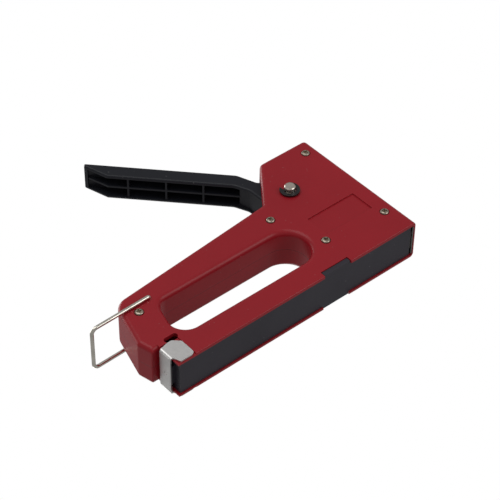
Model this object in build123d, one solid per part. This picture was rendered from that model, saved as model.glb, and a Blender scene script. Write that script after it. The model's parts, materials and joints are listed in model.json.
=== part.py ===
"""Hand staple gun: two moulded case halves, squeeze handle, hammer, staple magazine and latch.

Millimetres. +X points to the nose, +Z up, +Y to the tool's left.
The origin is on the base plane, in the middle of the nose's front edge.
"""

from build123d import *
from math import cos, radians, sin
import os

# ---------------------------------------------------------------- case
case_half = 12.0             # from the joint between the halves to either side face
wall = 2.2                   # moulded wall
front_wall = 1.2             # in front of the nose plate
lip = 1.8                    # case sides beside the magazine
head_height = 87.0
head_top_length = 32.0
head_foot = (-52.0, 61.2)    # where the head meets the grip
grip_fall = 0.0875           # drop of the grip's top for each mm rearwards
grip_end = -155.9            # where the grip's top meets the back
grip_end_r = 9.0
head_r = 4.0
nose_r = 2.5
rear_knuckle = (-163.8, 23.6)
rear_lean = 0.278            # forward lean of the back for each mm up
rear_overhang = (-161.8, 15.0)
rear_end = -157.3            # back of the case under the overhang
edge_round = 2.5             # outer edges of the side faces
base_round = 0.8
hole_round = 3.0             # rim of the hand hole

# ---------------------------------------------------------------- hand hole
hole_floor = 15.0
hole_roof = 40.0
hole_nose_x = -65.0          # centre of the round front end
hole_back_x = -143.3         # at the height of the rear knuckle
hole_back_low_r = 9.0
hole_back_high_r = 7.0

# ---------------------------------------------------------------- handle
pivot_ahead = 17.7           # pivot in front of the head's foot
pivot_below = 1.2            # and below it
pin_d = 6.0
pin_out = 3.8                # how far the pin stands out of the right side
pin_head_h = 1.6
groove_depth = 0.6
clip_rim = 2.45              # E-clip beyond the pin
clip_prong = 1.7
clip_t = 0.8
clip_lift = 0.6              # E-clip above the side face
fit_gap = 0.06               # running fit, on the radius
raised = 46.5                # handle above level when released
squeeze = 51.0               # travel of the handle, degrees
handle_gap = 1.8             # between the handle and the inside of the case
handle_play = 0.3            # between the handle's hub and the case's bosses
slot_gap = 0.5               # between the handle and the slot in the head
handle_wall = 1.7
handle_top = 14.5            # top face above the pivot's centre line
handle_under = 5.6           # lower edge above the pivot's centre line
handle_length = 112.0
handle_round = 1.2           # edges of the top face
tip_run = 13.7               # length of the slanted tip
tip_end = 2.2                # height of the tip's end face
shoulder = (18.5, 10.0)
shoulder_start = 29.5
hub_r = 11.0
cheek_low = (13.0, -5.0)
cheek_mid = (21.5, 2.6)
cheek_end = 30.0
neck_slope = 42.0             # the neck's lean, from the handle's long line
web_inset = 0.8              # floor of the handle's neck, inside its lower edge
web_t = 1.5
neck_end = 26.0              # wall across the channel, where the ribs begin
rib_t = 1.0
rib_short = 0.5              # ribs end this far inside the lower edge
cross_rib_places = [46.5, 66.5, 87.0]

# ---------------------------------------------------------------- lifter
lifter_t = 1.2
lifter_gap = 0.15            # inside the handle
lifter_reach = 16.0
lifter_nose_r = 2.3
lifter_back = 18.0
lifter_low = -1.0            # its lower corners, above the neck's floor
lifter_high = 3.1
cross_pin = (15.0, 4.6)
cross_pin_d = 2.5
cross_pin_in = 0.9           # its blind end in the handle's right wall
press_gap = 0.02             # on the radius
bush_wall = 1.2

# ---------------------------------------------------------------- hammer and power spring
hammer_x = -19.0             # line of the power spring
hammer_long = 13.0
hammer_foot = 34.0
hammer_gap = 0.4             # between the hammer and the lifter's cheeks
bridge_h = 8.0
bore_floor = 4.0
bore_gap = 0.3
lug_t = 3.0
lug_long = 6.0
lug_behind = 1.6             # lug behind the lifter's nose at rest
lift_gap = 0.3               # lifter below the hammer's lugs when released
spring_d = 6.6
spring_wire = 1.2
spring_turns = 9
end_gap = 0.1                # at a spring's end
seat_rim = 1.1               # spring seat beyond the spring
seat_t = 1.5
spigot_h = 4.0
bumper_h = 5.0

# ---------------------------------------------------------------- nose
plate_t = 0.8
plate_gap = 0.4              # at each edge of the nose plate
plate_foot = 0.3
blade_t = 0.6
blade_foot = 1.2
blade_gap = 0.15
blade_over = 4.0             # blade above the hammer's bridge
exit_gap = 0.95              # staple exit, front to back

# ---------------------------------------------------------------- magazine
recess = 0.8                 # magazine floor above the base plane
floor_t = 1.5
mag_gap = 0.2                # at each side
mag_wall = 1.5
mag_clear = 0.5              # above the magazine
ear_front = -46.0
ear_back = -63.0
ear_inset = 0.4              # ears inside the side faces
ear_height = 3.3
ear_gap = 0.5
rail_t = 0.8
rail_top = 10.4
rail_foot = 3.6
rail_front = -4.6
foot_long = 38.0
staple_half = 5.65
staple_t = 0.5
staple_gap = 0.2             # staple legs off the rail
staple_above = 0.1           # crown off the rail
staple_foot = 2.8
strip_long = 50.0
strip_gap = 0.3              # first staple behind the blade
rod_d = 2.5
rod_z = 6.4
rod_front = -13.0
rod_head_rim = 0.95
rod_head_t = 1.2
pusher_long = 12.0
pusher_wall = 1.3
pusher_gap = 0.25
feed_spring_rim = 1.45       # outside of the feed spring beyond the rod
feed_spring_wire = 0.6
feed_spring_turns = 22

# ---------------------------------------------------------------- rear latch
sheet = 0.9
latch_gap = 0.7              # between the band and the case's end
wing_out = 0.25              # wings stand out of the side faces
wing_front = -146.7
wing_low = 0.5
wing_drop = 0.8              # wings below the overhang
wing_gap = 0.3
band_low = 4.4
band_drop = 1.4              # band below the wings' top
latch_bend = 1.6
slit_w = 0.7
dimple_d = 2.4
block_long = 6.0
block_gap = 0.2

# ---------------------------------------------------------------- handle lock
wire_d = 2.0
wire_x = -140.4
wire_above = 4.0             # pivot above the hand hole
wire_arm = 36.0
wire_gap = 0.3               # between the wire and the side faces
wire_fit = 0.08
wire_droop = 1.2             # degrees below level when at rest
wire_corner_r = 3.0
wire_bend_r = 1.3
wire_grip = 3.8              # length of each turned-in end inside the side face

# ---------------------------------------------------------------- worked-out places
side_inner = case_half - wall
magazine_inner = case_half - lip
plate_back = -front_wall - plate_t
magazine_front = plate_back - exit_gap
pivot = (head_foot[0] + pivot_ahead, head_foot[1] - pivot_below)
handle_half = side_inner - handle_gap
lifter_half = handle_half - handle_wall - lifter_gap
lifter_hub_r = hub_r - handle_wall - lifter_gap
hammer_half = lifter_half - lifter_t - hammer_gap
hammer_back = hammer_x - hammer_long / 2
hammer_front = hammer_x + hammer_long / 2
blade_front = plate_back - blade_gap
blade_back = blade_front - blade_t
blade_top = hammer_foot + bridge_h + blade_over
lift = 2 * lifter_reach * sin(radians(squeeze / 2))
nose_top = pivot[1] - lift / 2 + lifter_nose_r
seat_under = head_height - wall - seat_t
lug_back = pivot[0] + lifter_reach * cos(radians(squeeze / 2)) - lug_behind
mag_half = magazine_inner - mag_gap
mag_height = hole_floor - wall - mag_clear
mag_back = rear_end + latch_gap + 0.6
block_front = mag_back + block_long
rail_half = staple_half - staple_t - staple_gap
rail_back = block_front + 0.5
strip_front = blade_back - strip_gap
pusher_front = strip_front - strip_long - 0.1
pusher_back = pusher_front - pusher_long
band_back = rear_end - latch_gap - sheet
wing_high = rear_overhang[1] - wing_drop
band_high = wing_high - band_drop
latch_half = case_half + wing_out
wire_pivot = (wire_x, hole_roof + wire_above)
wire_half = case_half + wire_gap + wire_d / 2
wire_inside = case_half - wire_grip

# ---------------------------------------------------------------- screws, label, latch slot
screw_head_d = 4.6
screw_head_h = 1.5
screw_shank_d = 2.9
screw_reach = 7.7            # shank in the left half
screw_slot = 0.75
recess_d = 1.9               # middle of the cross recess
screw_turn = 37.0            # each screw stands turned from the one before
seat_depth = 0.7
seat_gap = 0.35
hole_gap = 0.1               # round a fixed shank, on the radius
boss_wall = 1.7
rib_w = 1.7
rib_gap = 0.3                # between a rib and what it guides
bulkhead_top = 48.0
shelf_t = 2.5
screw_places = [
    (-7.3, head_height - 9.2),
    (-7.3, mag_height + 4.0),
    (-45.3, mag_height + 7.3),
    (head_foot[0] - 5.0, head_foot[1] - 12.0),
    (-150.3, hole_roof - 0.5),
]
label_low = (-42.0, 22.7)
label_high = (-10.0, 37.7)
label_depth = 0.7
slot_length = 8.0
slot_height = 3.4
slot_centre = (-149.4, wing_high + slot_height / 2)


def rounded(corners):
    """A flat outline from (x, z, radius) corners."""
    face = make_face(Polyline(*[(x, z) for x, z, r in corners], close=True))
    for x, z, r in corners:
        if r > 0:
            corner = face.vertices().sort_by_distance((x, z, 0))[0]
            face = fillet(corner, r)
    return face


def slab(face, y_low, y_high):
    """An XZ outline made solid from y_low to y_high."""
    return extrude(Pos(0, y_high, 0) * (Plane.XZ * face), amount=y_high - y_low, dir=(0, -1, 0))


def across(place, diameter, y_low, y_high):
    """A round bar along Y."""
    x, z = place
    return slab(Pos(x, z) * Circle(diameter / 2), y_low, y_high)


def block(x_low, x_high, y_low, y_high, z_low, z_high):
    size = (x_high - x_low, y_high - y_low, z_high - z_low)
    centre = ((x_low + x_high) / 2, (y_low + y_high) / 2, (z_low + z_high) / 2)
    return Pos(*centre) * Box(*size)


def on_handle(u, v, angle=raised):
    """Handle coordinates (back along it, up from it) to X and Z with the handle raised by angle."""
    a = radians(angle)
    return (pivot[0] - u * cos(a) + v * sin(a), pivot[1] + u * sin(a) + v * cos(a))


def handle_slab(corners, y_low, y_high):
    """A rounded outline in handle coordinates, at the handle's rest angle."""
    placed = [(*on_handle(u, v), r) for u, v, r in corners]
    return slab(rounded(placed), y_low, y_high)


def handle_bar(u, v, diameter, y_low, y_high):
    return across(on_handle(u, v), diameter, y_low, y_high)


# ================================================================ case halves
def grip_top(x):
    return head_foot[1] + (x - head_foot[0]) * grip_fall


def back_x(z, through=rear_knuckle[0]):
    return through + (z - rear_knuckle[1]) * rear_lean


def case_outline():
    """Side view of the whole case, run on below the base plane."""
    top_z = grip_top(grip_end)
    return rounded([
        (0, -edge_round * 2, 0),
        (0, head_height, nose_r),
        (-head_top_length, head_height, head_r),
        (*head_foot, 0.8),
        (back_x(top_z), top_z, grip_end_r),
        (*rear_knuckle, 2.0),
        (*rear_overhang, 0.6),
        (rear_end, rear_overhang[1], 0),
        (rear_end, -edge_round * 2, 0),
    ])


def hole_outline(grow=0.0):
    """The hand hole, or the same shape grown for the wall round it."""
    middle = (hole_roof + hole_floor) / 2
    nose_r = (hole_roof - hole_floor) / 2 + grow
    low, high = middle - nose_r, middle + nose_r
    lean = grow * (1 + rear_lean ** 2) ** 0.5
    body = rounded([
        (hole_nose_x, low, 0),
        (hole_nose_x, high, 0),
        (back_x(high, hole_back_x) - lean, high, hole_back_high_r + grow),
        (back_x(low, hole_back_x) - lean, low, hole_back_low_r + grow),
    ])
    return body + Pos(hole_nose_x, middle) * Circle(nose_r)


def cavity_outline():
    """The hollow inside a case half, up to the walls."""
    top_z = grip_top(grip_end)
    return rounded([
        (plate_back, -1, 0),
        (plate_back, head_height - wall, 0),
        (-head_top_length + wall * 0.4, head_height - wall, 2.0),
        (head_foot[0] + wall, head_foot[1] - wall, 0.5),
        (back_x(top_z) + wall, top_z - wall, grip_end_r - 2.0),
        (rear_knuckle[0] + wall, rear_knuckle[1], 1.0),
        (rear_end + wall, rear_overhang[1] + wall, 0.5),
        (rear_end + wall, -1, 0),
    ])


def case_half_body():
    """The right half without its ribs and openings, side face at -Y."""
    shell = slab(case_outline(), -case_half, 0)
    side = shell.faces().sort_by(Axis.Y)[0]
    shell = fillet([e for e in side.edges() if not wing_edge(e)], edge_round)
    shell -= block(rear_end - 1, 1, -case_half - 1, 1, -edge_round * 3, 0)
    base = shell.faces().sort_by(Axis.Z)[0]
    shell = fillet([e for e in base.edges() if e.center().Y < -0.1 and e.center().X > rear_end + 0.1], base_round)
    shell -= slab(hole_outline(), -case_half - 1, 1)
    rim = shell.faces().sort_by(Axis.Y)[0].inner_wires()[0].edges()
    shell = fillet(rim, hole_round)
    hollow = slab(cavity_outline(), -side_inner, 1) - slab(hole_outline(wall), -case_half, 1)
    return shell - hollow


def wing_edge(edge):
    """True for the side face's edges that the latch's wing covers."""
    centre = edge.center()
    return centre.X < rear_end + 0.7 and centre.Z < rear_overhang[1] + 0.1


def handle_slot():
    """The opening in the back of the head that the handle swings through."""
    half = handle_half + slot_gap
    low = head_foot[1] - wall - 3.0
    return slab(rounded([
        (-head_top_length - 1.0, head_height - wall - 1.5, 0),
        (-head_top_length - 6.0, head_height + 5, 0),
        (head_foot[0] - 12.0, head_foot[1] + 6, 0),
        (head_foot[0] - 8.5, low, 0),
        (head_foot[0] + 5.0, low, 0),
    ]), -half, half)


def make_half():
    """The right case half, all but what differs between the two."""
    half = case_half_body()
    root = -side_inner - 0.5
    # bulkhead behind the hammer, shelf under the bumper, walls each side of the spring seat
    shelf_top = hammer_foot - bumper_h
    ribs = block(hammer_back - rib_w, hammer_back - rib_gap, root, 0, mag_height + 2, bulkhead_top)
    ribs += block(hammer_back - 1, hammer_front, root, 0, shelf_top - shelf_t, shelf_top)
    seat_r = spring_d / 2 + seat_rim + rib_gap
    for x in (hammer_x - seat_r - rib_w, hammer_x + seat_r):
        ribs += block(x, x + rib_w, root, 0, seat_under, head_height - wall + 0.5)
    half += ribs
    for place in screw_places:
        half += across(place, screw_shank_d + 2 * hole_gap + 2 * boss_wall, root, 0)
    half += across(wire_pivot, wire_d + 2 * boss_wall + 1, root, -wire_inside)
    half += across(pivot, pin_d + 2 * fit_gap + 2 * boss_wall, root, -handle_half - handle_play)
    # openings for the handle, magazine, nose plate, handle pin and lock wire
    half -= handle_slot()
    half -= block(rear_end - 1, plate_back, -magazine_inner, 1, -1, mag_height + mag_clear)
    half -= block(plate_back, -front_wall, -side_inner + plate_gap - 0.1, 1, -1, blade_top + lift + 0.4)
    half -= across(pivot, pin_d + 2 * fit_gap, -case_half - 1, 1)
    half -= across(wire_pivot, wire_d + 2 * wire_fit, -case_half - 1, -1)
    # ear notch, label panel, latch slot and the flat under the latch's wing
    half -= block(ear_back - ear_gap, ear_front + ear_gap, -case_half - 1, -1, -1, ear_height + 0.3)
    lx, lz = (label_low[0] + label_high[0]) / 2, (label_low[1] + label_high[1]) / 2
    panel = RectangleRounded(label_high[0] - label_low[0], label_high[1] - label_low[1], 0.6)
    half -= slab(Pos(lx, lz) * panel, -case_half - 1, -case_half + label_depth)
    half -= slab(Pos(*slot_centre) * SlotOverall(slot_length, slot_height), -case_half - 1, -1)
    wing_seat = block(rear_end - 5, wing_front + wing_gap, -case_half - 1,
                      -latch_half + sheet + wing_gap / 2, -1, wing_high + wing_gap)
    return half - wing_seat


def make_cases():
    half = make_half()
    right = half
    left = mirror(half, about=Plane.XZ)
    for place in screw_places:
        right -= across(place, screw_shank_d + 2 * hole_gap, -case_half - 1, 1)
        right -= across(place, screw_head_d + 2 * seat_gap, -case_half - 1, -case_half + seat_depth)
        left -= across(place, screw_shank_d + 2 * hole_gap, -1, screw_reach + 0.5)
    return right, left


def make_screws():
    """Pan-head cross-recess screws, heads on the right side."""
    seat_y = -case_half + seat_depth
    long = screw_reach - seat_y
    shank = Cylinder(screw_shank_d / 2, long, align=(Align.CENTER, Align.CENTER, Align.MAX))
    head = Cylinder(screw_head_d / 2, screw_head_h, align=(Align.CENTER, Align.CENTER, Align.MIN))
    head = fillet(head.edges().sort_by(Axis.Z)[-1], screw_head_h * 0.6)
    screw = head + shank
    screw = chamfer(screw.edges().sort_by(Axis.Z)[0], screw_shank_d * 0.3)
    for turn in (0, 90):
        bit = Pos(0, 0, screw_head_h) * Rot(0, 0, turn) * Box(screw_head_d * 0.62, screw_slot, 1.6)
        screw -= bit
    screw -= Pos(0, 0, screw_head_h - 0.3) * Cylinder(recess_d / 2, 1.8)
    placed = [Pos(x, seat_y, z) * Rot(90, 0, 0) * Rot(0, 0, 20 + screw_turn * i) * screw
              for i, (x, z) in enumerate(screw_places)]
    return Compound(children=placed)


# ================================================================ handle
def handle_profile():
    """Corners of the handle's side view, in handle coordinates."""
    return [
        (handle_length, handle_top, 0.5),
        (handle_length - 0.4, handle_top - tip_end, 0.4),
        (handle_length - tip_run, handle_under, 1.5),
        (cheek_end, handle_under, 8.0),
        (*cheek_mid, 6.0),
        (*cheek_low, 3.0),
        (2.0, -hub_r, 0),
        (-4.0, -hub_r * 0.9, 0),
        (-4.0, hub_r * 0.9, 0),
        (2.0, hub_r - 0.5, 0),
        (*shoulder, 3.0),
        (shoulder_start, handle_top, 6.0),
    ]


def make_handle():
    body = handle_slab(handle_profile(), -handle_half, handle_half)
    body += handle_bar(0, 0, 2 * hub_r, -handle_half, handle_half)
    outer = [e for e in body.edges()
             if abs(abs(e.center().Y) - handle_half) < 0.01 and on_top(e)]
    body = fillet(outer, handle_round)
    inner_half = handle_half - handle_wall
    roof = handle_top - handle_wall
    tip_inner = handle_length - handle_wall - 0.6
    hollow = handle_slab([
        (tip_inner, roof, 0.5),
        (tip_inner, handle_under - 2, 0),
        (hub_r + 14, handle_under - 12, 0),
        (hub_r + 6, -hub_r - 10, 0),
        (-hub_r - 1, -hub_r - 10, 0),
        (-hub_r - 1, 12, 0),
        (shoulder[0] - 15, shoulder[1] - handle_wall, 0),
        (shoulder[0] + 0.5, shoulder[1] - handle_wall, 3.0),
        (shoulder_start + 0.5, roof, 5.0),
    ], -inner_half, inner_half)
    hollow += handle_bar(0, 0, 2 * (lifter_hub_r + lifter_gap), -inner_half, inner_half)
    body -= hollow
    body += neck_floor(inner_half + 0.3)
    # stiffening ribs: one along the middle, several across
    low = handle_under + rib_short
    body += handle_slab([
        (tip_inner + 0.3, handle_top - 1.0, 0),
        (tip_inner + 0.3, handle_top - tip_end - 0.3, 0),
        (handle_length - tip_run - rib_short, low, 0),
        (neck_end + 0.5, low, 0),
        (neck_end + 0.5, handle_top - 1.0, 0),
    ], -rib_t / 2, rib_t / 2)
    for u in cross_rib_places:
        body += handle_slab([
            (u - rib_t / 2, low, 0), (u + rib_t / 2, low, 0),
            (u + rib_t / 2, handle_top - 1, 0), (u - rib_t / 2, handle_top - 1, 0),
        ], -inner_half - 0.3, inner_half + 0.3)
    body -= handle_bar(0, 0, pin_d + 2 * fit_gap, -handle_half - 1, handle_half + 1)
    body -= handle_bar(*cross_pin, cross_pin_d + 2 * press_gap, -inner_half - cross_pin_in, handle_half + 1)
    return body


def neck_floor(half):
    """Web that closes the neck's underside, from the hub to a wall across the channel."""
    dy = web_inset / cos(radians(neck_slope))
    t = web_t / cos(radians(neck_slope))
    (low_u, low_v), (mid_u, mid_v) = cheek_low, cheek_mid
    floor = handle_slab([
        (low_u, low_v + dy, 0),
        (mid_u, mid_v + dy, 0),
        (neck_end + rib_t, handle_under + web_inset, 0),
        (neck_end + rib_t, handle_top - 1.0, 0),
        (neck_end, handle_top - 1.0, 0),
        (neck_end, handle_under + web_inset + web_t, 0),
        (mid_u, mid_v + dy + t, 0),
        (low_u, low_v + dy + t, 0),
    ], -half, half)
    return floor


def on_top(edge):
    """True for edges along the handle's top and tip, in handle coordinates."""
    a = radians(raised)
    x, z = edge.center().X - pivot[0], edge.center().Z - pivot[1]
    u, v = -x * cos(a) + z * sin(a), x * sin(a) + z * cos(a)
    return u > shoulder[0] + 1 and v > handle_top - 4.6


def make_lifter():
    """Steel channel in the handle; its two noses lift the hammer."""
    a = radians(-squeeze / 2)
    nose = (pivot[0] + lifter_reach * cos(a), pivot[1] + lifter_reach * sin(a))
    inner = lifter_half - lifter_t
    web_high = shoulder[1] - handle_wall - lifter_gap
    web_low = web_high - lifter_t
    arm = make_hull((Pos(*nose) * Circle(lifter_nose_r)).edges()
                    + (Pos(*pivot) * Circle(lifter_hub_r * 0.7)).edges())
    # the arm is cut away level with the nose, clear of the hammer's lug
    arm -= Pos(lug_back - 0.7 + lug_long, nose_top + lug_long) * Rectangle(2 * lug_long, 2 * lug_long)
    cheek = Pos(*pivot) * Circle(lifter_hub_r) + arm
    cheek += make_face(Polyline(
        on_handle(0, 0), on_handle(cheek_low[0], lifter_low), on_handle(lifter_back, lifter_high),
        on_handle(lifter_back, web_high), on_handle(2.5, web_high), close=True))
    body = slab(cheek, -lifter_half, -inner) + slab(cheek, inner, lifter_half)
    body += handle_slab([
        (cheek_low[0], web_low, 0), (lifter_back, web_low, 0),
        (lifter_back, web_high, 0), (cheek_low[0], web_high, 0),
    ], -inner - 0.1, inner + 0.1)
    body -= across(pivot, pin_d + 2 * fit_gap, -handle_half, handle_half)
    body -= handle_bar(*cross_pin, cross_pin_d + 2 * press_gap, -handle_half, handle_half)
    return body


def make_cross_pin():
    blind_end = -handle_half + handle_wall - cross_pin_in
    return handle_bar(*cross_pin, cross_pin_d, blind_end + 0.1, handle_half - 0.1)


def make_bush():
    """Spacer tube on the pin, between the lifter's cheeks."""
    half = lifter_half - lifter_t - end_gap
    tube = across(pivot, pin_d + 2 * fit_gap + 2 * bush_wall, -half, half)
    return tube - across(pivot, pin_d + 2 * fit_gap, -half - 1, half + 1)


def make_pin():
    """Handle pin: head on the left, groove for the E-clip on the right."""
    body = across(pivot, pin_d, -case_half - pin_out, case_half)
    body = chamfer(body.edges().sort_by(Axis.Y)[0], 0.5)
    head = across(pivot, pin_d * 1.5, case_half, case_half + pin_head_h)
    body += fillet(head.edges().sort_by(Axis.Y)[-1], 0.7)
    groove_low = -case_half - clip_lift - clip_t - 0.05
    groove = across(pivot, pin_d + 2, groove_low, groove_low + clip_t + 0.1)
    groove -= across(pivot, pin_d - 2 * groove_depth, groove_low - 1, groove_low + clip_t + 1.1)
    return body - groove


def make_e_clip():
    """Flat E-ring: an open ring with three prongs, mouth upwards."""
    clip_r = pin_d / 2 + clip_rim
    groove_r = pin_d / 2 - groove_depth
    ring = Circle(clip_r) - Circle(groove_r + 1.15)
    prong = Circle(groove_r + 1.3) - Circle(groove_r + press_gap)
    prongs = Sketch()
    for turn in (-90, 25, 155):
        prongs += prong & Rot(0, 0, turn) * Pos(clip_r / 2, 0) * Rectangle(clip_r, clip_prong)
    mouth = Pos(0, clip_r) * Rectangle(2 * groove_r + 1.0, 2 * clip_r)
    flat = ring - mouth + prongs
    y_high = -case_half - clip_lift
    return slab(Pos(*pivot) * flat, y_high - clip_t, y_high)


# ================================================================ hammer
def make_hammer():
    """Block with a bore for the spring, a lug on each side, and a bridge to the blade."""
    low = nose_top + lift_gap
    body = block(hammer_back, hammer_front, -hammer_half, hammer_half, hammer_foot, low + lug_t)
    body = chamfer(body.edges().filter_by(Axis.Z), 1.0)
    body += block(lug_back, lug_back + lug_long, -lifter_half, lifter_half, low, low + lug_t)
    body += block(hammer_front - 2, blade_back, -hammer_half, hammer_half, hammer_foot, hammer_foot + bridge_h)
    bore = Cylinder(spring_d / 2 + bore_gap, head_height, align=(Align.CENTER, Align.CENTER, Align.MIN))
    return body - Pos(hammer_x, 0, hammer_foot + bore_floor) * bore


def make_blade():
    half = staple_half - staple_gap / 4
    body = block(blade_back, blade_front, -half, half, blade_foot, blade_top)
    return chamfer(body.edges().filter_by(Axis.X).sort_by(Axis.Z)[-2:], 2.0)


def coil(length, diameter, wire, turns):
    """An open-ended compression spring standing on Z = 0."""
    centre_r = (diameter - wire) / 2
    pitch = (length - wire) / turns
    path = Helix(pitch=pitch, height=length - wire, radius=centre_r)
    section = Plane(origin=path @ 0, z_dir=path % 0) * Circle(wire / 2)
    return Pos(0, 0, wire / 2) * sweep(section, path=path, is_frenet=True)


def make_power_spring():
    low = hammer_foot + bore_floor
    spring = coil(seat_under - low - 2 * end_gap, spring_d, spring_wire, spring_turns)
    return Pos(hammer_x, 0, low + end_gap) * spring


def make_spring_seat():
    disc = Cylinder(spring_d / 2 + seat_rim, seat_t, align=(Align.CENTER, Align.CENTER, Align.MIN))
    spigot_r = spring_d / 2 - spring_wire - bore_gap
    spigot = Cylinder(spigot_r, spigot_h, align=(Align.CENTER, Align.CENTER, Align.MAX))
    spigot = chamfer(spigot.edges().sort_by(Axis.Z)[0], 0.5)
    return Pos(hammer_x, 0, seat_under) * (disc + spigot)


def make_bumper():
    low = hammer_foot - bumper_h
    body = block(hammer_back, hammer_front, -hammer_half, hammer_half, low, hammer_foot - end_gap)
    return chamfer(body.edges().filter_by(Axis.Z), 0.8)


def make_nose_plate():
    half = side_inner - plate_gap
    body = block(plate_back, -front_wall, -half, half, plate_foot, blade_top + lift + 0.2)
    return fillet(body.edges().filter_by(Axis.X).sort_by(Axis.Z)[-2:], 2.0)


# ================================================================ magazine
def make_magazine():
    """Channel open on top, with an ear on each side and two feet under the rail's front."""
    floor_top = recess + floor_t
    body = block(mag_back, magazine_front, -mag_half, mag_half, recess, mag_height)
    body -= block(mag_back - 1, magazine_front + 1, -mag_half + mag_wall, mag_half - mag_wall,
                  floor_top, mag_height + 1)
    for side in (-1, 1):
        y_low, y_high = sorted((side * (mag_half - 0.5), side * (case_half - ear_inset)))
        body += block(ear_back, ear_front, y_low, y_high, recess, ear_height)
        y_low, y_high = sorted((side * (rail_half - rail_t), side * rail_half))
        body += block(rail_front - foot_long, rail_front, y_low, y_high, floor_top - 0.2, rail_foot)
    return body


def make_rail():
    """Steel rail the staples straddle, an inverted channel."""
    body = block(rail_back, rail_front, -rail_half, rail_half, rail_foot, rail_top)
    body = fillet(body.edges().filter_by(Axis.X).sort_by(Axis.Z)[-2:], 0.5)
    inner = rail_half - rail_t
    return body - block(rail_back - 1, rail_front + 1, -inner, inner, rail_foot - 1, rail_top - rail_t)


def make_staples():
    """The glued strip of staples, an inverted channel over the rail."""
    back = strip_front - strip_long
    crown = rail_top + staple_above + staple_t
    body = block(back, strip_front, -staple_half, staple_half, staple_foot, crown)
    inner = staple_half - staple_t
    return body - block(back - 1, strip_front + 1, -inner, inner, staple_foot - 1, crown - staple_t)


def make_pusher():
    """Saddle over the rail, with a block inside the rail that slides on the rod."""
    wide = rail_half + pusher_gap
    narrow = rail_half - rail_t - pusher_gap
    outer = wide + pusher_wall
    low, high = rail_foot - pusher_gap, rail_top + pusher_gap
    foot = recess + floor_t + 0.3
    body = block(pusher_back, pusher_front, -outer, outer, foot, high + pusher_wall)
    body = fillet(body.edges().filter_by(Axis.X).sort_by(Axis.Z)[-2:], 1.0)
    way = block(pusher_back - 1, pusher_front + 1, -wide, wide, low, high)
    way -= block(pusher_back - 2, pusher_front + 2, -narrow, narrow, low - 2, high - rail_t - 2 * pusher_gap)
    body -= way
    return body - along(rod_d + 2 * fit_gap, pusher_back - 1, pusher_front + 1)


def along(diameter, x_low, x_high):
    """A round bar along X at the pusher rod's height."""
    bar = Cylinder(diameter / 2, x_high - x_low, align=(Align.CENTER, Align.CENTER, Align.MIN))
    return Pos(x_low, 0, rod_z) * Rot(0, 90, 0) * bar


def make_rod():
    head = along(rod_d + 2 * rod_head_rim, rod_front - rod_head_t, rod_front)
    return along(rod_d, band_back + sheet, rod_front) + head


def make_feed_spring():
    """Spring on the rod between the latch block and the pusher."""
    length = pusher_back - block_front - 2 * end_gap
    spring = coil(length, rod_d + 2 * feed_spring_rim, feed_spring_wire, feed_spring_turns)
    return Pos(block_front + end_gap, 0, rod_z) * Rot(0, 90, 0) * spring


# ================================================================ rear latch
def make_latch():
    """Bent sheet: a band across the back and a wing on each side."""
    inside = band_back + sheet
    plan = rounded_plan(latch_half, band_back, wing_front, latch_bend)
    plan -= rounded_plan(latch_half - sheet, inside, wing_front + 2, latch_bend - sheet)
    strip = extrude(plan, amount=wing_high + 1, dir=(0, 0, 1))
    wing = rounded([
        (wing_front, wing_low, 2.2),
        (wing_front, wing_high - 3.4, 1.6),
        (wing_front - 3.6, wing_high, 1.8),
        (wing_front - 6.4, wing_high, 3.0),
        (band_back - 1, band_high - 0.2, 0),
        (band_back - 1, band_low, 0),
        (inside + 0.9, band_low + 0.4, 0.8),
        (inside + 2.4, wing_low, 0.8),
    ])
    strip &= slab(wing, -latch_half - 1, latch_half + 1)
    # relief slit along each bend, and a pressed dimple in the band
    for side in (-1, 1):
        y_low = side * (latch_half - 0.5) - slit_w / 2
        strip -= block(band_back - 0.5, band_back + sheet / 2, y_low, y_low + slit_w,
                       band_low + 1.4, band_high - 1.6)
    dimple = Pos(band_back, 0, (band_low + band_high) / 2) * Rot(0, 90, 0)
    strip -= dimple * Cylinder(dimple_d / 2, 0.5)
    return strip


def rounded_plan(half, back, front, bend):
    """Plan of a U open to the front: used outside less inside for the bent sheet."""
    face = make_face(Polyline((back, -half), (front, -half), (front, half), (back, half), close=True))
    corners = face.vertices().sort_by(Axis.X)[:2]
    return fillet(corners, bend)


def make_latch_block():
    """Plastic block behind the band that closes the magazine's end."""
    half = mag_half - mag_wall - block_gap
    low = recess + floor_t + block_gap
    body = block(mag_back, block_front, -half, half, low, mag_height - block_gap)
    body += block(band_back + sheet, mag_back + 1, -half * 0.7, half * 0.7, band_low + 0.6, mag_height - 0.6)
    return body - along(rod_d + 2 * press_gap, band_back, block_front + 1)


# ================================================================ handle lock
def make_lock_wire():
    """Square bail of round wire; its ends turn in holes in the two halves."""
    far = -wire_arm
    route = FilletPolyline(
        (0, wire_inside, 0), (0, wire_half, 0), (far, wire_half, 0),
        (far, -wire_half, 0), (0, -wire_half, 0), (0, -wire_inside, 0),
        radius=[wire_bend_r, wire_corner_r, wire_corner_r, wire_bend_r],
    )
    section = Plane(origin=route @ 0, z_dir=route % 0) * Circle(wire_d / 2)
    bail = sweep(section, path=route)
    return Pos(wire_pivot[0], 0, wire_pivot[1]) * Rot(0, -wire_droop, 0) * bail


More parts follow.
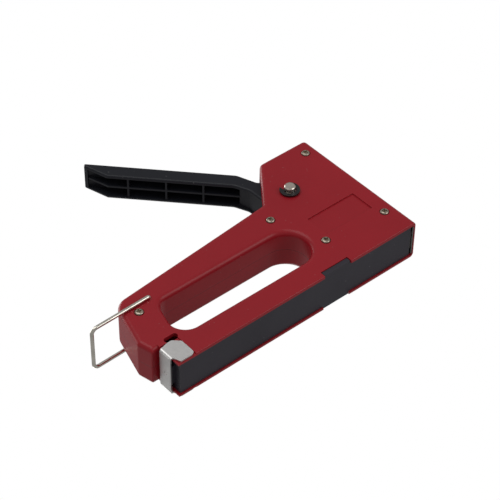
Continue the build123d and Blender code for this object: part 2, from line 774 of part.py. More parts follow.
# ================================================================ all parts
os.makedirs("parts", exist_ok=True)
right_shell, left_shell = make_cases()
nodes = {
    "right_shell": right_shell,
    "left_shell": left_shell,
    "case_screws": make_screws(),
    "handle_pin": make_pin(),
    "e_clip": make_e_clip(),
    "lever_handle": make_handle(),
    "lifter": make_lifter(),
    "lifter_cross_pin": make_cross_pin(),
    "pin_bush": make_bush(),
    "hammer": make_hammer(),
    "driver_blade": make_blade(),
    "power_spring": make_power_spring(),
    "spring_seat": make_spring_seat(),
    "bumper": make_bumper(),
    "nose_plate": make_nose_plate(),
    "magazine": make_magazine(),
    "staple_rail": make_rail(),
    "staple_strip": make_staples(),
    "pusher": make_pusher(),
    "pusher_rod": make_rod(),
    "pusher_spring": make_feed_spring(),
    "rear_latch": make_latch(),
    "latch_block": make_latch_block(),
    "lock_wire": make_lock_wire(),
}
for name, shape in nodes.items():
    export_step(shape, f"parts/{name}.step")
    print(name, "written")
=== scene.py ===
import bpy
import json
import math
from mathutils import Matrix, Vector


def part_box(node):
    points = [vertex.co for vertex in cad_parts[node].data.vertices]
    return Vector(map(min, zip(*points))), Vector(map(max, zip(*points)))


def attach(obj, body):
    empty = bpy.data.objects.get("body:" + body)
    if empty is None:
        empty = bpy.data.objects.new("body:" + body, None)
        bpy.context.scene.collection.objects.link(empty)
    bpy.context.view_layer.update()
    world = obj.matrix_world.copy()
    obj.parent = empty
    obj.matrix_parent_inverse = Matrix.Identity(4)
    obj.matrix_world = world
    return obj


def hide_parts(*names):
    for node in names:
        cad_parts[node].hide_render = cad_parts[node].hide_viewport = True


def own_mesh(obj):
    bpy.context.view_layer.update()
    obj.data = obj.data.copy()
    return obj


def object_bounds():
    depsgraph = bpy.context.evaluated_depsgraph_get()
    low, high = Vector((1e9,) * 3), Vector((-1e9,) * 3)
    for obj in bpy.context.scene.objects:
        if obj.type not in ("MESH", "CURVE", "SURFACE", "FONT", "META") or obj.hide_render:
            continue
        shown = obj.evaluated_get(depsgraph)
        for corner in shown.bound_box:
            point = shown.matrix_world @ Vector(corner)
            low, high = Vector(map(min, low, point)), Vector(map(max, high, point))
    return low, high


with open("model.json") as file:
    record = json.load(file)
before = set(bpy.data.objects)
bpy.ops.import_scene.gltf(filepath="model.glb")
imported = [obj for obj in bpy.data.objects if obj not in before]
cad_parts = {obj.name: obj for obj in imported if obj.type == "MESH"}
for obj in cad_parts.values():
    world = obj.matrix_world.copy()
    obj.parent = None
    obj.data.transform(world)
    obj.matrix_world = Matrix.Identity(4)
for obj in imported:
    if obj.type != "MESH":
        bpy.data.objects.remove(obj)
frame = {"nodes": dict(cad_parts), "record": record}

mm = 0.001
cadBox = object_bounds()
print("frame loaded:", len(frame["nodes"]), "parts")


# small helpers for modelling

def clearSelection():
    if bpy.context.object and bpy.context.object.mode != "OBJECT":
        bpy.ops.object.mode_set(mode="OBJECT")
    bpy.ops.object.select_all(action="DESELECT")


def nameNewPiece(name):
    piece = bpy.context.object
    piece.name = name
    piece.data.name = name
    return piece


def settle(piece):
    clearSelection()
    piece.select_set(True)
    bpy.context.view_layer.objects.active = piece
    bpy.ops.object.transform_apply(location=True, rotation=True, scale=True)


def pickFaces(piece, wanted):
    bpy.ops.object.mode_set(mode="EDIT")
    bpy.ops.mesh.select_mode(type="FACE")
    bpy.ops.mesh.select_all(action="DESELECT")
    bpy.ops.object.mode_set(mode="OBJECT")
    for face in piece.data.polygons:
        face.select = wanted(face)
    bpy.ops.object.mode_set(mode="EDIT")


def smoothByAngle(piece, degrees):
    clearSelection()
    piece.select_set(True)
    bpy.context.view_layer.objects.active = piece
    bpy.ops.object.shade_smooth_by_angle(angle=math.radians(degrees))


# small helpers for materials

def addNode(tree, kind, place, **settings):
    node = tree.nodes.new(kind)
    node.location = place
    for key, value in settings.items():
        setattr(node, key, value)
    return node


def setInput(node, **values):
    for key, value in values.items():
        node.inputs[key.replace("_", " ")].default_value = value


def newGroup(name, inputs, outputs):
    tree = bpy.data.node_groups.new(name, "ShaderNodeTree")
    for label, value in inputs.items():
        socket = tree.interface.new_socket(name=label, in_out="INPUT", socket_type="NodeSocketFloat")
        socket.default_value = value
    for label in outputs:
        tree.interface.new_socket(name=label, in_out="OUTPUT", socket_type="NodeSocketFloat")
    start = addNode(tree, "NodeGroupInput", (-900, 0))
    end = addNode(tree, "NodeGroupOutput", (700, 0))
    return tree, start, end


def useGroup(tree, group, place, **values):
    node = addNode(tree, "ShaderNodeGroup", place, node_tree=group)
    setInput(node, **values)
    return node


def maths(tree, operation, place, a, b=0.5):
    node = addNode(tree, "ShaderNodeMath", place, operation=operation)
    for socket, value in zip(node.inputs, (a, b)):
        if isinstance(value, (int, float)):
            socket.default_value = value
        else:
            tree.links.new(value, socket)
    return node.outputs[0]


def blendColours(tree, place, amount, first, second):
    # a colour mix uses input 0 for the amount, 6 and 7 for the colours, and output 2
    node = addNode(tree, "ShaderNodeMix", place, data_type="RGBA", clamp_factor=True)
    for socket, value in ((node.inputs[0], amount), (node.inputs[6], first), (node.inputs[7], second)):
        if isinstance(value, (int, float)):
            socket.default_value = value
        elif isinstance(value, tuple):
            socket.default_value = (*value, 1)
        else:
            tree.links.new(value, socket)
    return node.outputs[2]


def remap(tree, place, value, low, high, newLow, newHigh):
    node = addNode(tree, "ShaderNodeMapRange", place, clamp=True)
    tree.links.new(value, node.inputs["Value"])
    setInput(node, From_Min=low, From_Max=high, To_Min=newLow, To_Max=newHigh)
    return node.outputs["Result"]


# moulded grain: the fine texture a spark-eroded mould leaves, over slow waviness of the surface

grainSizes = {
    "perMetre": 2600.0, "detail": 2.0, "roughness": 0.6,
    "waves": 75.0, "waveDetail": 3.0, "waviness": 0.35,
    "mottle": 22.0, "mottleDetail": 6.0, "mottleRoughness": 0.62,
}


def makeMouldGrain():
    tree, start, end = newGroup(
        "mouldGrain", {"Grain per metre": grainSizes["perMetre"], "Waviness": grainSizes["waviness"]},
        ["Height", "Mottle"])
    where = addNode(tree, "ShaderNodeTexCoord", (-900, 300))
    grain = addNode(tree, "ShaderNodeTexNoise", (-500, 200))
    setInput(grain, Detail=grainSizes["detail"], Roughness=grainSizes["roughness"])
    tree.links.new(where.outputs["Object"], grain.inputs["Vector"])
    tree.links.new(start.outputs["Grain per metre"], grain.inputs["Scale"])
    wave = addNode(tree, "ShaderNodeTexNoise", (-500, -100))
    setInput(wave, Scale=grainSizes["waves"], Detail=grainSizes["waveDetail"])
    tree.links.new(where.outputs["Object"], wave.inputs["Vector"])
    slow = maths(tree, "MULTIPLY", (-200, -100), wave.outputs["Fac"], start.outputs["Waviness"])
    height = maths(tree, "ADD", (100, 100), grain.outputs["Fac"], slow)
    mottle = addNode(tree, "ShaderNodeTexNoise", (-500, -400))
    setInput(mottle, Scale=grainSizes["mottle"], Detail=grainSizes["mottleDetail"],
             Roughness=grainSizes["mottleRoughness"])
    tree.links.new(where.outputs["Object"], mottle.inputs["Vector"])
    tree.links.new(height, end.inputs["Height"])
    tree.links.new(mottle.outputs["Fac"], end.inputs["Mottle"])
    return tree


# rubbed edges: where the rounded normal leaves the true one the surface is an edge

edgeSizes = {
    "width": 0.5 * mm, "patchiness": 0.5, "samples": 4, "edgeRange": (0.995, 0.86),
    "patches": 260.0, "patchDetail": 4.0, "patchRoughness": 0.7, "patchRange": (0.35, 0.65),
}


def makeRubbedEdges():
    tree, start, end = newGroup(
        "rubbedEdges", {"Width": edgeSizes["width"], "Patchiness": edgeSizes["patchiness"]}, ["Mask"])
    rounded = addNode(tree, "ShaderNodeBevel", (-650, 200), samples=edgeSizes["samples"])
    tree.links.new(start.outputs["Width"], rounded.inputs["Radius"])
    flat = addNode(tree, "ShaderNodeNewGeometry", (-650, -50))
    same = addNode(tree, "ShaderNodeVectorMath", (-400, 100), operation="DOT_PRODUCT")
    tree.links.new(rounded.outputs["Normal"], same.inputs[0])
    tree.links.new(flat.outputs["Normal"], same.inputs[1])
    edge = remap(tree, (-150, 100), same.outputs["Value"], *edgeSizes["edgeRange"], 0.0, 1.0)
    where = addNode(tree, "ShaderNodeTexCoord", (-650, -300))
    patches = addNode(tree, "ShaderNodeTexNoise", (-400, -300))
    setInput(patches, Scale=edgeSizes["patches"], Detail=edgeSizes["patchDetail"],
             Roughness=edgeSizes["patchRoughness"])
    tree.links.new(where.outputs["Object"], patches.inputs["Vector"])
    patchy = remap(tree, (-150, -300), patches.outputs["Fac"], *edgeSizes["patchRange"], 0.0, 1.0)
    keep = maths(tree, "SUBTRACT", (50, -200), 1.0, start.outputs["Patchiness"])
    part = maths(tree, "MAXIMUM", (200, -200), patchy, keep)
    tree.links.new(maths(tree, "MULTIPLY", (450, 0), edge, part), end.inputs["Mask"])
    return tree


# hairline scratches in two directions, each a thin slice of a stretched noise

hairlineSizes = {
    "directions": ((0.5, (40, 900, 900)), (2.2, (900, 60, 500))), "lean": 0.3, "tilt": 0.2,
    "halfWidth": 0.004, "places": 90.0, "placeDetail": 2.0, "placeRange": (0.55, 0.68), "amount": 0.5,
}


def makeHairlines():
    tree, start, end = newGroup("hairlines", {"Amount": hairlineSizes["amount"]}, ["Mask"])
    where = addNode(tree, "ShaderNodeTexCoord", (-1100, 100))
    found = []
    for turn, (rotation, size) in enumerate(hairlineSizes["directions"]):
        mapping = addNode(tree, "ShaderNodeMapping", (-800, -300 * turn))
        mapping.inputs["Rotation"].default_value = (hairlineSizes["lean"] * rotation, rotation,
                                                           hairlineSizes["tilt"])
        mapping.inputs["Scale"].default_value = size
        tree.links.new(where.outputs["Object"], mapping.inputs["Vector"])
        lines = addNode(tree, "ShaderNodeTexNoise", (-550, -300 * turn))
        setInput(lines, Scale=1.0, Detail=1.0)
        tree.links.new(mapping.outputs["Vector"], lines.inputs["Vector"])
        away = maths(tree, "ABSOLUTE", (-150, -300 * turn),
                     maths(tree, "SUBTRACT", (-350, -300 * turn), lines.outputs["Fac"], 0.5))
        found.append(remap(tree, (50, -300 * turn), away, hairlineSizes["halfWidth"], 0.0, 0.0, 1.0))
    places = addNode(tree, "ShaderNodeTexNoise", (-550, -700))
    setInput(places, Scale=hairlineSizes["places"], Detail=hairlineSizes["placeDetail"])
    tree.links.new(where.outputs["Object"], places.inputs["Vector"])
    here = remap(tree, (-250, -700), places.outputs["Fac"], *hairlineSizes["placeRange"], 0.0, 1.0)
    both = maths(tree, "MAXIMUM", (250, 0), found[0], found[1])
    some = maths(tree, "MULTIPLY", (400, -100), both, here)
    tree.links.new(maths(tree, "MULTIPLY", (550, -100), some, start.outputs["Amount"]), end.inputs["Mask"])
    return tree


# dust: sparse pale specks

dustSizes = {
    "specks": 420.0, "speckRange": (0.10, 0.05), "places": 300.0, "placeRange": (0.62, 0.68), "amount": 0.5,
}


def makeDust():
    tree, start, end = newGroup("dust", {"Amount": dustSizes["amount"]}, ["Mask"])
    where = addNode(tree, "ShaderNodeTexCoord", (-900, 300))
    specks = addNode(tree, "ShaderNodeTexVoronoi", (-600, 200))
    setInput(specks, Scale=dustSizes["specks"], Randomness=1.0)
    tree.links.new(where.outputs["Object"], specks.inputs["Vector"])
    dots = remap(tree, (-350, 200), specks.outputs["Distance"], *dustSizes["speckRange"], 0.0, 1.0)
    sparse = addNode(tree, "ShaderNodeTexNoise", (-600, -100))
    setInput(sparse, Scale=dustSizes["places"], Detail=0.0)
    tree.links.new(where.outputs["Object"], sparse.inputs["Vector"])
    few = remap(tree, (-350, -100), sparse.outputs["Fac"], *dustSizes["placeRange"], 0.0, 1.0)
    mask = maths(tree, "MULTIPLY", (0, 100), dots, few)
    tree.links.new(maths(tree, "MULTIPLY", (250, 100), mask, start.outputs["Amount"]), end.inputs["Mask"])
    return tree


# drawn or brushed metal: long fine lines along one axis of the part

brushSizes = {"Along": 25.0, "Across": 4200.0, "Up": 4200.0}      # lines per metre each way
brushNoise = {"detail": 3.0, "roughness": 0.7, "clouds": 140.0, "cloudDetail": 5.0}


def makeBrushedLines():
    tree, start, end = newGroup("brushedLines", brushSizes, ["Height", "Streak"])
    where = addNode(tree, "ShaderNodeTexCoord", (-900, 300))
    size = addNode(tree, "ShaderNodeCombineXYZ", (-700, 0))
    for socket, label in zip(size.inputs, brushSizes):
        tree.links.new(start.outputs[label], socket)
    stretch = addNode(tree, "ShaderNodeVectorMath", (-450, 200), operation="MULTIPLY")
    tree.links.new(where.outputs["Object"], stretch.inputs[0])
    tree.links.new(size.outputs["Vector"], stretch.inputs[1])
    lines = addNode(tree, "ShaderNodeTexNoise", (-200, 200))
    setInput(lines, Scale=1.0, Detail=brushNoise["detail"], Roughness=brushNoise["roughness"])
    tree.links.new(stretch.outputs["Vector"], lines.inputs["Vector"])
    cloud = addNode(tree, "ShaderNodeTexNoise", (-200, -150))
    setInput(cloud, Scale=brushNoise["clouds"], Detail=brushNoise["cloudDetail"])
    tree.links.new(where.outputs["Object"], cloud.inputs["Vector"])
    tree.links.new(lines.outputs["Fac"], end.inputs["Height"])
    tree.links.new(cloud.outputs["Fac"], end.inputs["Streak"])
    return tree


mouldGrain = makeMouldGrain()
rubbedEdges = makeRubbedEdges()
hairlines = makeHairlines()
dust = makeDust()
brushedLines = makeBrushedLines()
print("surface effects ready")


def startMaterial(name):
    material = bpy.data.materials.new(name)
    material.use_nodes = True
    tree = material.node_tree
    tree.nodes.clear()
    out = addNode(tree, "ShaderNodeOutputMaterial", (900, 0))
    shader = addNode(tree, "ShaderNodeBsdfPrincipled", (600, 0))
    tree.links.new(shader.outputs["BSDF"], out.inputs["Surface"])
    return material, tree, shader


def addBump(tree, shader, height, strength, distance):
    bump = addNode(tree, "ShaderNodeBump", (350, -350))
    setInput(bump, Strength=strength, Distance=distance)
    tree.links.new(height, bump.inputs["Height"])
    tree.links.new(bump.outputs["Normal"], shader.inputs["Normal"])
    return bump


# moulded plastics

plasticLooks = {
    "caseRed": {
        "colour": (0.348, 0.0118, 0.0205), "deep": (0.308, 0.0092, 0.0168), "rubbed": (0.46, 0.045, 0.055),
        "roughness": (0.29, 0.38), "grain": 0.14, "edge": 0.40, "dust": 0.3, "scratch": 0.22, "seam": 0.00011,
        "specular": 0.29,
    },
    "handleBlack": {
        "colour": (0.0150, 0.0160, 0.0215), "deep": (0.0118, 0.0126, 0.0172), "rubbed": (0.05, 0.05, 0.055),
        "roughness": (0.27, 0.38), "grain": 0.12, "edge": 0.5, "dust": 0.5, "scratch": 0.5, "seam": 0.0,
        "specular": 0.24,
    },
    "magazineBlack": {
        "colour": (0.0330, 0.0290, 0.0400), "deep": (0.0275, 0.0243, 0.0335), "rubbed": (0.07, 0.07, 0.075),
        "roughness": (0.36, 0.48), "grain": 0.22, "edge": 0.5, "dust": 0.7, "scratch": 0.6, "seam": 0.0,
        "specular": 0.34,
    },
}


plasticFinish = {
    "edgeWidth": 0.7 * mm, "edgePatches": 0.45, "edgePolish": 0.08, "mottleRange": (0.3, 0.7),
    "scratchTint": 0.4, "scratchDulling": 0.2, "dustColour": (0.42, 0.40, 0.39), "bumpDepth": 0.06 * mm,
    "seamColour": (0.035, 0.004, 0.006), "seamRange": (1.6, 0.6), "seamTint": 0.75, "seamDepth": 3.0,
}


def mouldedPlastic(name):
    look = plasticLooks[name]
    material, tree, shader = startMaterial(name)
    links = tree.links
    grain = useGroup(tree, mouldGrain, (-900, -300))
    edges = useGroup(tree, rubbedEdges, (-900, 0), Width=plasticFinish["edgeWidth"],
                     Patchiness=plasticFinish["edgePatches"])
    scratch = useGroup(tree, hairlines, (-900, 300), Amount=look["scratch"])
    specks = useGroup(tree, dust, (-900, 500), Amount=look["dust"])
    mottle = remap(tree, (-600, -100), grain.outputs["Mottle"], *plasticFinish["mottleRange"], 0.0, 1.0)
    base = blendColours(tree, (-350, 200), mottle, look["colour"], look["deep"])
    rub = maths(tree, "MULTIPLY", (-600, 100), edges.outputs["Mask"], look["edge"])
    worn = blendColours(tree, (-150, 200), rub, base, look["rubbed"])
    score = maths(tree, "MULTIPLY", (-600, 350), scratch.outputs["Mask"], plasticFinish["scratchTint"])
    scored = blendColours(tree, (50, 250), score, worn, look["rubbed"])
    dusty = blendColours(tree, (250, 300), specks.outputs["Mask"], scored, plasticFinish["dustColour"])
    height = grain.outputs["Height"]
    if look["seam"]:
        # the joint between the two halves runs along the middle plane
        where = addNode(tree, "ShaderNodeTexCoord", (-900, 800))
        split = addNode(tree, "ShaderNodeSeparateXYZ", (-700, 800))
        links.new(where.outputs["Object"], split.inputs["Vector"])
        away = maths(tree, "ABSOLUTE", (-500, 800), split.outputs["Y"])
        outer, inner = (look["seam"] * share for share in plasticFinish["seamRange"])
        seam = remap(tree, (-300, 800), away, outer, inner, 0.0, 1.0)
        tint = maths(tree, "MULTIPLY", (-100, 800), seam, plasticFinish["seamTint"])
        dusty = blendColours(tree, (400, 500), tint, dusty, plasticFinish["seamColour"])
        deep = maths(tree, "MULTIPLY", (-100, 650), seam, plasticFinish["seamDepth"])
        height = maths(tree, "SUBTRACT", (150, -350), height, deep)
    links.new(dusty, shader.inputs["Base Color"])
    rough = remap(tree, (-350, -150), grain.outputs["Mottle"],
                  *plasticFinish["mottleRange"], *look["roughness"])
    smoother = maths(tree, "MULTIPLY", (-350, -300), edges.outputs["Mask"], plasticFinish["edgePolish"])
    rough = maths(tree, "SUBTRACT", (-150, -150), rough, smoother)
    rougher = maths(tree, "MULTIPLY", (-150, -300), scratch.outputs["Mask"], plasticFinish["scratchDulling"])
    links.new(maths(tree, "ADD", (100, -150), rough, rougher), shader.inputs["Roughness"])
    setInput(shader, Specular_IOR_Level=look["specular"])
    addBump(tree, shader, height, look["grain"], plasticFinish["bumpDepth"])
    return material


# metals

metalLooks = {
    "latchNickel": {"colour": (0.76, 0.75, 0.735), "dull": (0.62, 0.61, 0.60), "roughness": (0.34, 0.46),
                    "lines": (45.0, 1800.0, 1800.0), "bump": 0.035, "edge": 0.35},
    "screwNickel": {"colour": (0.56, 0.49, 0.39), "dull": (0.38, 0.33, 0.26), "roughness": (0.22, 0.36),
                    "lines": (2500.0, 60.0, 2500.0), "bump": 0.12, "edge": 0.35},
    "pinSteel": {"colour": (0.74, 0.67, 0.60), "dull": (0.58, 0.52, 0.46), "roughness": (0.24, 0.38),
                 "lines": (1400.0, 40.0, 1400.0), "bump": 0.04, "edge": 0.2},
    "clipBlack": {"colour": (0.075, 0.075, 0.078), "dull": (0.045, 0.045, 0.047), "roughness": (0.30, 0.46),
                  "lines": (900.0, 900.0, 900.0), "bump": 0.03, "edge": 0.35},
    "zincSteel": {"colour": (0.36, 0.345, 0.32), "dull": (0.24, 0.23, 0.215), "roughness": (0.30, 0.48),
                  "lines": (60.0, 3600.0, 3600.0), "bump": 0.12, "edge": 0.3},
    "hammerSteel": {"colour": (0.34, 0.33, 0.32), "dull": (0.20, 0.195, 0.19), "roughness": (0.30, 0.50),
                    "lines": (3200.0, 3200.0, 80.0), "bump": 0.16, "edge": 0.5},
    "springSteel": {"colour": (0.36, 0.35, 0.34), "dull": (0.22, 0.215, 0.21), "roughness": (0.26, 0.40),
                    "lines": (2600.0, 2600.0, 2600.0), "bump": 0.08, "edge": 0.0},
    "stapleWire": {"colour": (0.66, 0.65, 0.62), "dull": (0.50, 0.49, 0.47), "roughness": (0.22, 0.34),
                   "lines": (2600.0, 60.0, 60.0), "bump": 0.08, "edge": 0.0},
    "lockWire": {"colour": (0.80, 0.765, 0.68), "dull": (0.62, 0.59, 0.52), "roughness": (0.16, 0.28),
                 "lines": (20.0, 120.0, 120.0), "bump": 0.0, "edge": 0.0},
}


metalFinish = {
    "scratch": 0.6, "scratchTint": 0.5, "edgeWidth": 0.3 * mm, "edgePatches": 0.35, "brightBase": 0.25,
    "brightShare": 0.9, "cloudRange": (0.32, 0.68), "lineRange": (0.3, 0.7), "lineRoughness": 0.04,
    "bumpDepth": 0.05 * mm,
}


def platedMetal(name):
    look = metalLooks[name]
    material, tree, shader = startMaterial(name)
    links = tree.links
    along, acrossWay, up = look["lines"]
    lines = useGroup(tree, brushedLines, (-900, -200), Along=along, Across=acrossWay, Up=up)
    scratch = useGroup(tree, hairlines, (-900, 250), Amount=metalFinish["scratch"])
    cloud = remap(tree, (-600, 0), lines.outputs["Streak"], *metalFinish["cloudRange"], 0.0, 1.0)
    base = blendColours(tree, (-350, 200), cloud, look["colour"], look["dull"])
    if look["edge"]:
        edges = useGroup(tree, rubbedEdges, (-900, 500), Width=metalFinish["edgeWidth"],
                         Patchiness=metalFinish["edgePatches"])
        bright = tuple(min(1.0, metalFinish["brightBase"] + value * metalFinish["brightShare"])
                       for value in look["colour"])
        rub = maths(tree, "MULTIPLY", (-600, 450), edges.outputs["Mask"], look["edge"])
        base = blendColours(tree, (-100, 250), rub, base, bright)
    score = maths(tree, "MULTIPLY", (-600, 250), scratch.outputs["Mask"], metalFinish["scratchTint"])
    base = blendColours(tree, (150, 250), score, base, look["dull"])
    links.new(base, shader.inputs["Base Color"])
    rough = remap(tree, (-350, -100), lines.outputs["Streak"], *metalFinish["lineRange"], *look["roughness"])
    fine = remap(tree, (-350, -300), lines.outputs["Height"], *metalFinish["lineRange"],
                 -metalFinish["lineRoughness"], metalFinish["lineRoughness"])
    links.new(maths(tree, "ADD", (0, -150), rough, fine), shader.inputs["Roughness"])
    setInput(shader, Metallic=1.0)
    addBump(tree, shader, lines.outputs["Height"], look["bump"], metalFinish["bumpDepth"])
    return material


# the bumper's rubber, matt with a bloom

rubberLook = {
    "colour": (0.022, 0.021, 0.020), "bloom": (0.055, 0.053, 0.05), "roughness": (0.68, 0.86),
    "grainPerMetre": 1500.0, "bloomRange": (0.4, 0.7), "mottleRange": (0.3, 0.7), "grain": 0.4,
    "bumpDepth": 0.08 * mm,
}


def bumperRubber():
    look = rubberLook
    material, tree, shader = startMaterial("bumperRubber")
    grain = useGroup(tree, mouldGrain, (-700, 0), Grain_per_metre=look["grainPerMetre"])
    cloud = remap(tree, (-400, 100), grain.outputs["Mottle"], *look["bloomRange"], 0.0, 1.0)
    colour = blendColours(tree, (-100, 200), cloud, look["colour"], look["bloom"])
    rough = remap(tree, (-100, -100), grain.outputs["Mottle"], *look["mottleRange"], *look["roughness"])
    tree.links.new(colour, shader.inputs["Base Color"])
    tree.links.new(rough, shader.inputs["Roughness"])
    addBump(tree, shader, grain.outputs["Height"], look["grain"], look["bumpDepth"])
    return material


materials = {
    "red_plastic": mouldedPlastic("caseRed"),
    "black_handle": mouldedPlastic("handleBlack"),
    "black_magazine": mouldedPlastic("magazineBlack"),
    "nickel_screw": platedMetal("screwNickel"),
    "pin_steel": platedMetal("pinSteel"),
    "black_clip": platedMetal("clipBlack"),
    "zinc_steel": platedMetal("zincSteel"),
    "hammer_steel": platedMetal("hammerSteel"),
    "spring_steel": platedMetal("springSteel"),
    "bumper_rubber": bumperRubber(),
    "staple_wire": platedMetal("stapleWire"),
    "latch_sheet": platedMetal("latchNickel"),
    "lock_wire": platedMetal("lockWire"),
}
for subpart in frame["record"]["subparts"]:
    for slot in frame["nodes"][subpart["node"]].material_slots:
        slot.material = materials[subpart["material_slot"]]
print("materials on every part")


# springs: a round wire section wound by the screw modifier

springDetail = {"wireSides": 14, "stepsPerTurn": 30, "smoothUnder": 50}
powerSpringSizes = {"wire": 1.2 * mm, "turns": 9, "keep": 0.69}
feedSpringSizes = {"wire": 0.6 * mm, "turns": 22, "keep": 0.34}


def windSpring(name, outer, length, sizes):
    clearSelection()
    wire = sizes["wire"]
    bpy.ops.mesh.primitive_circle_add(
        vertices=springDetail["wireSides"], radius=wire / 2,
        location=(outer / 2 - wire / 2, 0, wire / 2), rotation=(math.pi / 2, 0, 0))
    piece = nameNewPiece(name)
    settle(piece)
    winding = piece.modifiers.new("winding", "SCREW")
    winding.axis = "Z"
    winding.screw_offset = (length - wire) / sizes["turns"]
    winding.iterations = sizes["turns"]
    winding.steps = springDetail["stepsPerTurn"]
    winding.render_steps = springDetail["stepsPerTurn"]
    bpy.ops.object.modifier_apply(modifier=winding.name)
    bpy.ops.object.mode_set(mode="EDIT")
    bpy.ops.mesh.select_all(action="SELECT")
    bpy.ops.mesh.fill_holes(sides=springDetail["wireSides"])
    bpy.ops.mesh.select_all(action="SELECT")
    bpy.ops.mesh.normals_make_consistent(inside=False)
    bpy.ops.object.mode_set(mode="OBJECT")
    smoothByAngle(piece, springDetail["smoothUnder"])
    piece.data.materials.append(materials["spring_steel"])
    return piece


def makePowerSpring():
    low, high = (Vector(corner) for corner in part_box("power_spring"))
    piece = windSpring("powerSpring", high.x - low.x, high.z - low.z, powerSpringSizes)
    piece.location = ((low.x + high.x) / 2, (low.y + high.y) / 2, low.z)
    settle(piece)
    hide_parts("power_spring")
    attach(piece, "case")
    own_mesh(piece)


def makeFeedSpring():
    low, high = (Vector(corner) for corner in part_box("pusher_spring"))
    piece = windSpring("feedSpring", high.z - low.z, high.x - low.x, feedSpringSizes)
    piece.rotation_euler = (0, math.pi / 2, 0)
    piece.location = (low.x, (low.y + high.y) / 2, (low.z + high.z) / 2)
    settle(piece)
    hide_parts("pusher_spring")
    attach(piece, "latch")
    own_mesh(piece)


makePowerSpring()
makeFeedSpring()
print("springs wound")


# staples: one wire bent to a U, copied along the strip

stapleSizes = {"wire": 0.5 * mm, "pitch": 0.52 * mm, "edge": 0.09 * mm}
facesDown = -0.9         # a face whose normal's Z is under this looks down


def makeStaple(front, low, high):
    clearSelection()
    wire = stapleSizes["wire"]
    bpy.ops.mesh.primitive_cube_add(size=1, location=(front - wire / 2, 0, high.z - wire / 2),
                                    scale=(wire, high.y - low.y, wire))
    staple = nameNewPiece("staple")
    settle(staple)
    bpy.ops.object.mode_set(mode="EDIT")
    for side in (-1, 1):
        bpy.ops.mesh.select_all(action="SELECT")
        bpy.ops.mesh.bisect(plane_co=(0, side * (high.y - wire), 0), plane_no=(0, 1, 0))
    pickFaces(staple, lambda face: face.normal.z < facesDown and abs(face.center.y) > high.y - wire)
    bpy.ops.mesh.extrude_region_move(TRANSFORM_OT_translate={"value": (0, 0, low.z - high.z + wire)})
    bpy.ops.object.mode_set(mode="OBJECT")
    softening = staple.modifiers.new("softening", "BEVEL")
    softening.width = stapleSizes["edge"]
    softening.segments = 1
    bpy.ops.object.modifier_apply(modifier=softening.name)
    return staple


def makeStapleStrip():
    low, high = (Vector(corner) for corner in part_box("staple_strip"))
    first = makeStaple(high.x, low, high)
    copies = [first]
    count = int((high.x - low.x) / stapleSizes["pitch"])
    for step in range(1, count):
        copy = first.copy()
        copy.data = first.data.copy()
        bpy.context.scene.collection.objects.link(copy)
        copy.location.x = -step * stapleSizes["pitch"]
        copies.append(copy)
    clearSelection()
    for copy in copies:
        copy.select_set(True)
    bpy.context.view_layer.objects.active = first
    bpy.ops.object.join()
    strip = nameNewPiece("stapleStrip")
    settle(strip)
    strip.data.materials.append(materials["staple_wire"])
    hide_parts("staple_strip")
    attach(strip, "case")


makeStapleStrip()
print("staples in the magazine")


# floor: pale, seen from above only, fading out into the white surroundings

floorLook = {
    "colour": (0.86, 0.86, 0.855), "speckle": (0.82, 0.82, 0.815), "speckles": 900.0, "speckleDetail": 3.0,
    "roughness": 0.8, "full": 0.35, "gone": 1.1, "size": 3.0, "below": 0.1 * mm,
}


def makeFloor():
    clearSelection()
    under = cadBox[0][2] - floorLook["below"]
    bpy.ops.mesh.primitive_plane_add(size=floorLook["size"], location=(0, 0, under))
    floor = nameNewPiece("floor")
    settle(floor)
    material, tree, shader = startMaterial("paleFloor")
    where = addNode(tree, "ShaderNodeTexCoord", (-1100, 0))
    specks = addNode(tree, "ShaderNodeTexNoise", (-800, 200))
    setInput(specks, Scale=floorLook["speckles"], Detail=floorLook["speckleDetail"])
    tree.links.new(where.outputs["Object"], specks.inputs["Vector"])
    colour = blendColours(tree, (0, 200), specks.outputs["Fac"], floorLook["colour"], floorLook["speckle"])
    tree.links.new(colour, shader.inputs["Base Color"])
    setInput(shader, Roughness=floorLook["roughness"])
    distance = addNode(tree, "ShaderNodeVectorMath", (-800, -200), operation="LENGTH")
    tree.links.new(where.outputs["Object"], distance.inputs[0])
    fade = remap(tree, (-500, -200), distance.outputs["Value"],
                 floorLook["full"], floorLook["gone"], 1.0, 0.0)
    rays = addNode(tree, "ShaderNodeLightPath", (-800, -500))
    side = addNode(tree, "ShaderNodeNewGeometry", (-800, -800))
    above = maths(tree, "SUBTRACT", (-500, -600), 1.0, side.outputs["Backfacing"])
    seen = maths(tree, "MULTIPLY", (-250, -500), rays.outputs["Is Camera Ray"], above)
    amount = maths(tree, "MULTIPLY", (0, -300), fade, seen)
    clear = addNode(tree, "ShaderNodeBsdfTransparent", (600, -300))
    mix = addNode(tree, "ShaderNodeMixShader", (800, -100))
    tree.links.new(amount, mix.inputs[0])
    tree.links.new(clear.outputs[0], mix.inputs[1])
    tree.links.new(shader.outputs[0], mix.inputs[2])
    tree.links.new(mix.outputs[0], tree.nodes["Material Output"].inputs["Surface"])
    floor.data.materials.append(material)


makeFloor()


# surroundings: white behind the tool, softer grey for what lights it

roomLook = {"seen": 1.0, "light": 0.34}


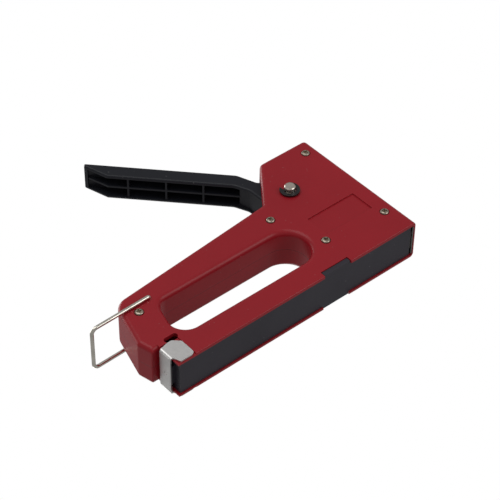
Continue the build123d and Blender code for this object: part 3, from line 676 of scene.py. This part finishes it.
def makeRoom():
    world = bpy.data.worlds.new("whiteRoom")
    world.use_nodes = True
    tree = world.node_tree
    tree.nodes.clear()
    out = addNode(tree, "ShaderNodeOutputWorld", (400, 0))
    back = addNode(tree, "ShaderNodeBackground", (100, 0))
    rays = addNode(tree, "ShaderNodeLightPath", (-400, 0))
    strength = remap(tree, (-150, 0), rays.outputs["Is Camera Ray"], 0.0, 1.0,
                     roomLook["light"], roomLook["seen"])
    tree.links.new(strength, back.inputs["Strength"])
    back.inputs["Color"].default_value = (1, 1, 1, 1)
    tree.links.new(back.outputs[0], out.inputs["Surface"])
    bpy.context.scene.world = world


makeRoom()

lampLook = {
    "keyBox": {"from": (-0.16, -0.86, 0.22), "size": 0.80, "power": 2.7},
    "topBox": {"from": (-0.20, 0.15, 0.95), "size": 0.80, "power": 4.2},
    "backBox": {"from": (-0.10, 0.88, 0.22), "size": 0.60, "power": 1.9},
    "lowFill": {"from": (0.47, -0.54, -0.67), "size": 0.50, "power": 1.6},
}


def makeLamps():
    middle = (Vector(cadBox[0]) + Vector(cadBox[1])) / 2
    for name, look in lampLook.items():
        data = bpy.data.lights.new(name, "AREA")
        data.shape = "DISK"
        data.size = look["size"]
        data.energy = look["power"]
        lamp = bpy.data.objects.new(name, data)
        bpy.context.scene.collection.objects.link(lamp)
        lamp.location = middle + Vector(look["from"])
        lamp.rotation_euler = (middle - lamp.location).to_track_quat("-Z", "Y").to_euler()
        lamp.visible_camera = False


makeLamps()

cameraLook = {
    "place": (-0.5302, -0.6488, -0.4799), "lens": 133.2, "sensor": 36.0, "nearest": 10 * mm,
    "right": (0.7608, -0.0098, -0.6489), "up": (0.4356, -0.7334, 0.5219), "back": (-0.4811, -0.6797, -0.5537),
    "shift": (-0.0007, -0.0006),
}


def makeCamera():
    data = bpy.data.cameras.new("viewer")
    data.lens = cameraLook["lens"]
    data.sensor_width = cameraLook["sensor"]
    data.shift_x, data.shift_y = cameraLook["shift"]
    data.clip_start = cameraLook["nearest"]
    camera = bpy.data.objects.new("viewer", data)
    bpy.context.scene.collection.objects.link(camera)
    turn = Matrix((cameraLook["right"], cameraLook["up"], cameraLook["back"])).transposed()
    camera.matrix_world = Matrix.Translation(cameraLook["place"]) @ turn.to_4x4()
    bpy.context.scene.camera = camera


makeCamera()
bpy.context.scene.view_settings.view_transform = "Standard"
print("floor, lamps and camera set")
